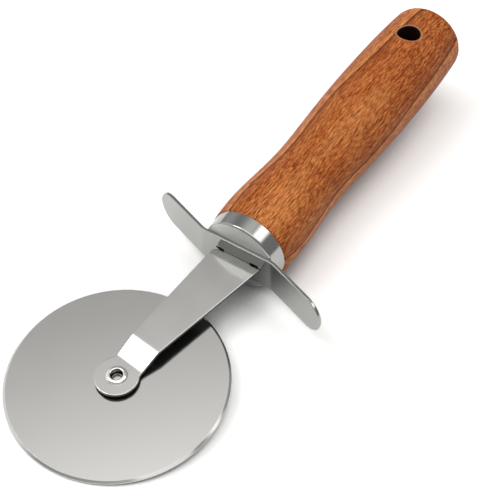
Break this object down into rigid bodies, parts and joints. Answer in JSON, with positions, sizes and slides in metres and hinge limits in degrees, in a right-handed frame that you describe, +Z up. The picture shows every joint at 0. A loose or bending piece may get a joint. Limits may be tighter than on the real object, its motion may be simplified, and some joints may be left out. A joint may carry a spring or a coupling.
{
  "type": "pizza cutter",
  "caption": "Hand-held rolling cutter: a round steel blade riveted under a cranked arm, a bent finger guard, a ferrule and a turned wooden handle with a hang hole.",
  "frame": {"origin": "on the table, under the middle of the bounding box, with the tool lying as it does when put down", "axes": "+X from the cutting wheel to the handle's butt, +Y towards the guard's swept-back wing, +Z up"},
  "size_m": [0.2111, 0.0724, 0.0352],
  "materials": {
    "wheel_steel": "fine satin polish",
    "rivet_steel": "bright",
    "washer_steel": "plain",
    "arm_steel": "satin",
    "guard_steel": "polished",
    "ferrule_steel": "polished",
    "handle_wood": "oiled beech, satin"
  },
  "bodies": {
    "frame": {"arm": "arm_steel", "axle_rivet": "rivet_steel", "spacer_washer": "washer_steel", "under_washer": "washer_steel", "finger_guard": "guard_steel", "ferrule": "ferrule_steel", "handle": "handle_wood"},
    "wheel": {"cutting_wheel": "wheel_steel"}
  },
  "joints": [
    {"name": "wheel_spin", "type": "hinge", "parent": "frame", "child": "wheel", "pos_m": [-0.07318, 0.00375, 0.0036], "axis": [-0.0926, 0, 0.9957], "continuous": true}
  ]
}
